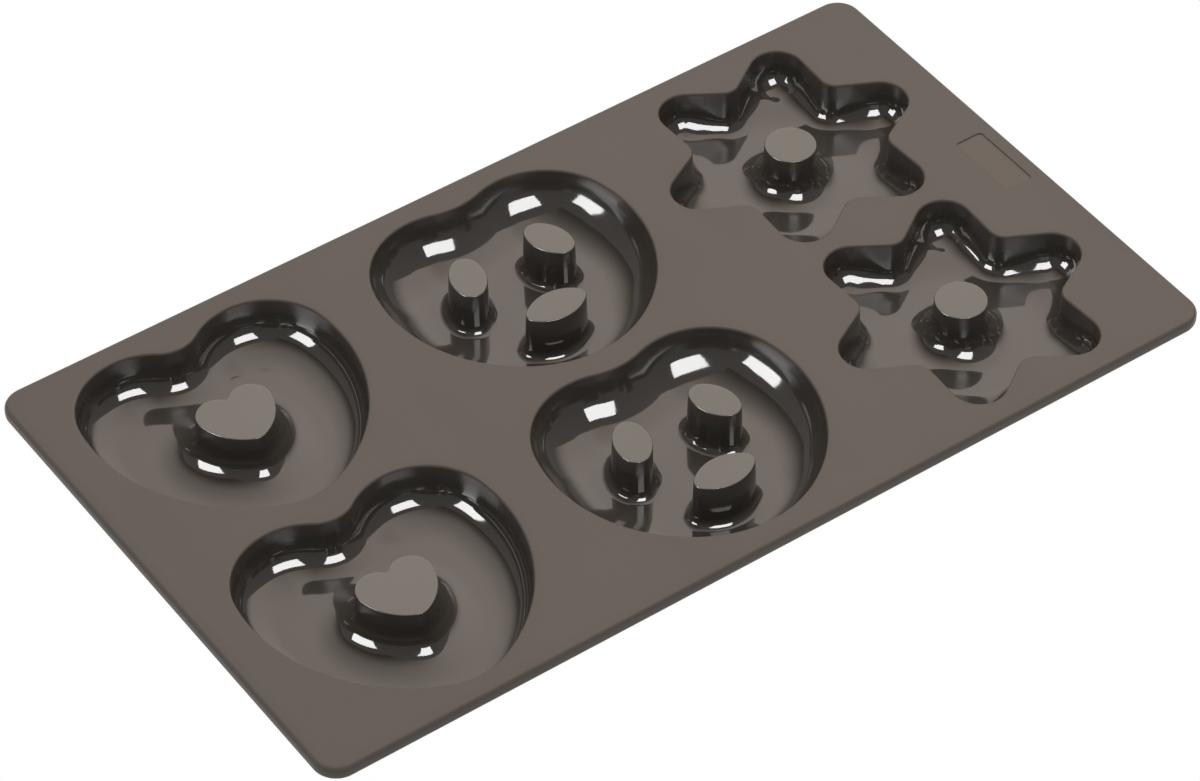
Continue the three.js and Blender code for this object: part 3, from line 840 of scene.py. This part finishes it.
STAR_AT = 0.09600
STAR_FORM = (0.5, 0.099, 0.348, 0.064)
STAR_STEPS = (36, 12, 18)
STAR_CORNER = 0.0070
STAR_REACH = 0.0077
VALLEY_CORNER = 0.0046
VALLEY_REACH = 0.0058
FLANK_START = 0.0302
FLANK_END = 0.0382
STAR_TAIL = math.radians(80)
STAR_CORE = 0.092 * SPAN
STAR_CORE_STEPS = 144
STAR_FLARE = 0.0076
STAR_FLARE_REACH = 0.0087
ARM_START = 0.0235
ARM_END = 0.0365
ARM_RISE = 0.0016
ARM_TOP = 0.002  # the arms' rise has faded out at this depth
ARM_FADE = 0.010
FLOOR_RINGS = 33


def star_line(form, steps):
    """A six-armed star as points and outward directions, from its reach, tip radius, valley
    reach and valley radius as shares of its span. One arm is a tip arc, a straight flank, a
    hollow valley arc and a flank, and the others are the same arm turned by 60 degrees."""
    reach, tip, valley_reach, valley = SPAN * np.array(form)
    pitch = math.tau / 6
    tip_at = np.array([reach - tip, 0])
    valley_at = (valley_reach + valley) * np.array([math.cos(pitch / 2), math.sin(pitch / 2)])
    gap = valley_at - tip_at
    lean = math.atan2(gap[1], gap[0]) - math.acos((tip + valley) / np.hypot(*gap))
    into = lean + math.pi
    out_of = pitch - lean + math.pi
    round_tip = arc(tip_at, tip, -lean, lean, steps[0])
    round_valley = arc(valley_at, valley, into, out_of, steps[2], True)

    def flank(start, end, direction):
        """A straight run of points that all face one way."""
        share = np.arange(steps[1])[:, None] / steps[1]
        out = np.array([[math.cos(direction), math.sin(direction)]])
        return start + (end - start) * share, np.repeat(out, steps[1], 0)

    def on(centre, radius, direction):
        """The point of a circle that lies in a direction."""
        return centre + radius * np.array([math.cos(direction), math.sin(direction)])

    next_tip = tip_at[0] * np.array([math.cos(pitch), math.sin(pitch)])
    down = flank(on(tip_at, tip, lean), on(valley_at, valley, into), lean)
    up = flank(on(valley_at, valley, out_of), on(next_tip, tip, pitch - lean), pitch - lean)
    arm = [np.concatenate(column) for column in zip(round_tip, down, round_valley, up)]
    turn = np.arange(6) * pitch
    spin = np.stack([np.cos(turn), np.sin(turn), -np.sin(turn), np.cos(turn)], -1)
    spin = spin.reshape(6, 2, 2)
    return tuple((part[None] @ spin).reshape(-1, 2) for part in arm)


def arms_raised(points, place):
    """The floor lifts softly towards the tips: the lift is the smooth step of the distance
    from the middle, and it fades out up the wall as the smooth step of the depth."""
    away = np.hypot(*(points[..., :2] - place).T).T
    outwards = smooth_step((away - ARM_START) / (ARM_END - ARM_START))
    down = smooth_step((DECK_TOP - points[..., 2] - ARM_TOP) / ARM_FADE)
    lift = ARM_RISE * outwards * down
    return np.concatenate([points[..., :2], points[..., 2:] + lift[..., None]], -1)


def star_floor(name, foot, hole, place):
    """A star's floor as a closed band: rings that run evenly from the wall's foot in to the
    core's, and back under the sheet, all lifted with the arms."""
    hub = np.hypot(*(hole[0] - place))
    spoke = foot[:, :2] - place
    inner = spoke * hub / np.hypot(*spoke.T)[:, None]
    share = np.linspace(0, 1, FLOOR_RINGS)[:, None, None]
    flat = place + spoke + share * (inner - spoke)
    level = np.zeros((FLOOR_RINGS, len(spoke), 1))
    upside = arms_raised(np.concatenate([flat, level + SHEET], -1), place)
    underside = arms_raised(np.concatenate([flat, level], -1), place)[::-1]
    both = np.concatenate([upside, underside])
    plain = np.zeros(len(both))
    faced = np.where(np.arange(len(both)) < FLOOR_RINGS - 1, 1, 0)
    piece = skin(f"{name}_cup_floor", both, faced, plain, plain, (satin, polish), True)
    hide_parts(f"{name}_floor")


star_outline = star_line(STAR_FORM, STAR_STEPS)
star_away = np.hypot(*star_outline[0].T)
outwards = smooth_step((star_away - FLANK_START) / (FLANK_END - FLANK_START))
star_corner = VALLEY_CORNER + (STAR_CORNER - VALLEY_CORNER) * outwards
star_reach = VALLEY_REACH + (STAR_REACH - VALLEY_REACH) * outwards
star_core_outline = arc((0, 0), STAR_CORE, 0, 2 * math.pi, STAR_CORE_STEPS)
star_section = core_section(STAR_FLARE, STAR_FLARE_REACH, STAR_TAIL)
for number, y in ROWS:
    name = f"star_{number}"
    place = (STAR_AT, y)
    mouths.append(cavity_mouth(name, star_outline, place))
    foot = cavity_wall(name, star_outline, star_corner, star_reach, STAR_TAIL, place, arms_raised)
    points = rings(star_core_outline, star_section[0], DECK_TOP - star_section[1], place)
    hole = core(f"{name}_cup_core", points, star_section, f"{name}_core")
    star_floor(name, foot, hole, place)


# Rim

# A bead hangs from the edge of the deck all round and keeps the soft sheet flat. It is cast
# in one with the deck, with rounded edges that are rubbed a little by handling.

LENGTH = 0.300
WIDTH = 0.172
CORNER = 0.0075
RIM_HEIGHT = 0.0043
RIM_WIDTH = 0.0036
RIM_EDGE = 0.0015
RIM_STRIP = 0.0005
RIM_FILLET = 0.0004


def rectangle_line(along_x, along_y, corner, steps):
    """A rectangle with round corners as points and outward directions: four quarter circles,
    each with its last point, whose ends are joined by straight sides."""
    x, y = along_x / 2 - corner, along_y / 2 - corner
    turn = np.arange(4 * (steps + 1)) // (steps + 1) + np.tile(np.arange(steps + 1), 4) / steps
    out = np.stack([np.cos(turn * math.pi / 2), np.sin(turn * math.pi / 2)], -1)
    centres = np.repeat([[x, y], [-x, y], [-x, -y], [x, -y]], steps + 1, 0)
    return centres + corner * out, out


rim_turn = np.linspace(0, math.pi / 2, 9)
rim_cos, rim_sin = np.cos(rim_turn), np.sin(rim_turn)
rim_low = DECK_TOP - RIM_HEIGHT
inner_end = -RIM_WIDTH - RIM_STRIP
rim_grow = np.concatenate(
    [
        RIM_EDGE * (rim_cos - 1),
        [inner_end, inner_end],
        -RIM_WIDTH - RIM_FILLET * (1 - rim_sin),
        -RIM_WIDTH + RIM_EDGE * (1 - rim_cos),
        RIM_EDGE * (rim_sin - 1),
    ]
)
rim_rise = np.concatenate(
    [
        DECK_TOP - RIM_EDGE * (1 - rim_sin),
        [DECK_TOP, DECK_TOP - SHEET],
        DECK_TOP - SHEET - RIM_FILLET * (1 - rim_cos),
        rim_low + RIM_EDGE * (1 - rim_sin),
        rim_low + RIM_EDGE * (1 - rim_cos),
    ]
)
rim_rub = np.sin(2 * rim_turn)
rim_edge = np.concatenate([rim_rub, [0, 0], 0 * rim_turn, rim_rub, rim_rub])
deck_outline = rectangle_line(LENGTH, WIDTH, CORNER, 24)
rim_points = rings(deck_outline, rim_grow, rim_rise, (0, 0))
rim = skin("rim_bead", rim_points, 0 * rim_edge, rim_edge, 0 * rim_edge, (satin,), True)
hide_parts("rim")


# Bare panel

# A shallow sunk field at the middle of one short side, left bare. It is a little paler than
# the deck, because the tool was left coarser there.

PANEL_AT = 0.14035
PANEL_WIDTH = 0.0095
PANEL_LENGTH = 0.0245
PANEL_CORNER = 0.0012
PANEL_SINK = 0.0004
PANEL_EDGE = 0.00015
PANEL_FRAME = 0.0008  # how far the panel's piece reaches out into the deck
PANEL_UNDER = 0.0004  # how far out its first ring lies, on the underside
PANEL_INNER = 0.0009  # how far in its last ring lies, on the field

panel_satin = rubber(
    "panel_satin_rubber", (0.156, 0.132, 0.112), roughness=0.5, specular=0.3, clouds=0.05,
    smears=0.03, dust=0.3, coarser=0, grain=1.6e-5, pits=1e-5, ripple=1e-5,
)
panel_outline = rectangle_line(PANEL_WIDTH, PANEL_LENGTH, PANEL_CORNER, 12)
panel_turn = np.linspace(0, math.pi / 2, 5)
panel_grow = np.concatenate(
    [
        [PANEL_UNDER, PANEL_FRAME, PANEL_FRAME],
        PANEL_EDGE * (1 - np.sin(panel_turn)),
        -PANEL_EDGE * (1 - np.cos(panel_turn)),
        [-PANEL_INNER],
    ]
)
panel_rise = np.concatenate(
    [
        [DECK_TOP - SHEET, DECK_TOP - SHEET, DECK_TOP],
        DECK_TOP - PANEL_EDGE * (1 - np.cos(panel_turn)),
        DECK_TOP - PANEL_SINK + PANEL_EDGE * (1 - np.sin(panel_turn)),
        [DECK_TOP - PANEL_SINK],
    ]
)
panel_points = rings(panel_outline, panel_grow, panel_rise, (PANEL_AT, 0))
panel_lip = 2 + len(panel_turn)  # the last ring of the upper edge
panel_slots = np.where(np.arange(len(panel_grow)) >= panel_lip, 1, 0)
panel_plain = 0 * panel_rise
panel = skin(
    "bare_panel", panel_points, panel_slots, panel_plain, panel_plain, (satin, panel_satin), False
)
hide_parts("deck")


# Deck

# The level sheet that carries the cavities, cast in one with them and as thick as their
# walls. It is satin, and dough that stands too high is scraped off over it.

deck_holes = [*mouths, panel_points[2, :, :2]]
deck_loop = rim_points[len(rim_turn), :, :2]
deck = plate("deck_sheet", deck_loop, deck_holes, DECK_TOP - SHEET, DECK_TOP, 0, (satin,))
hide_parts("deck")
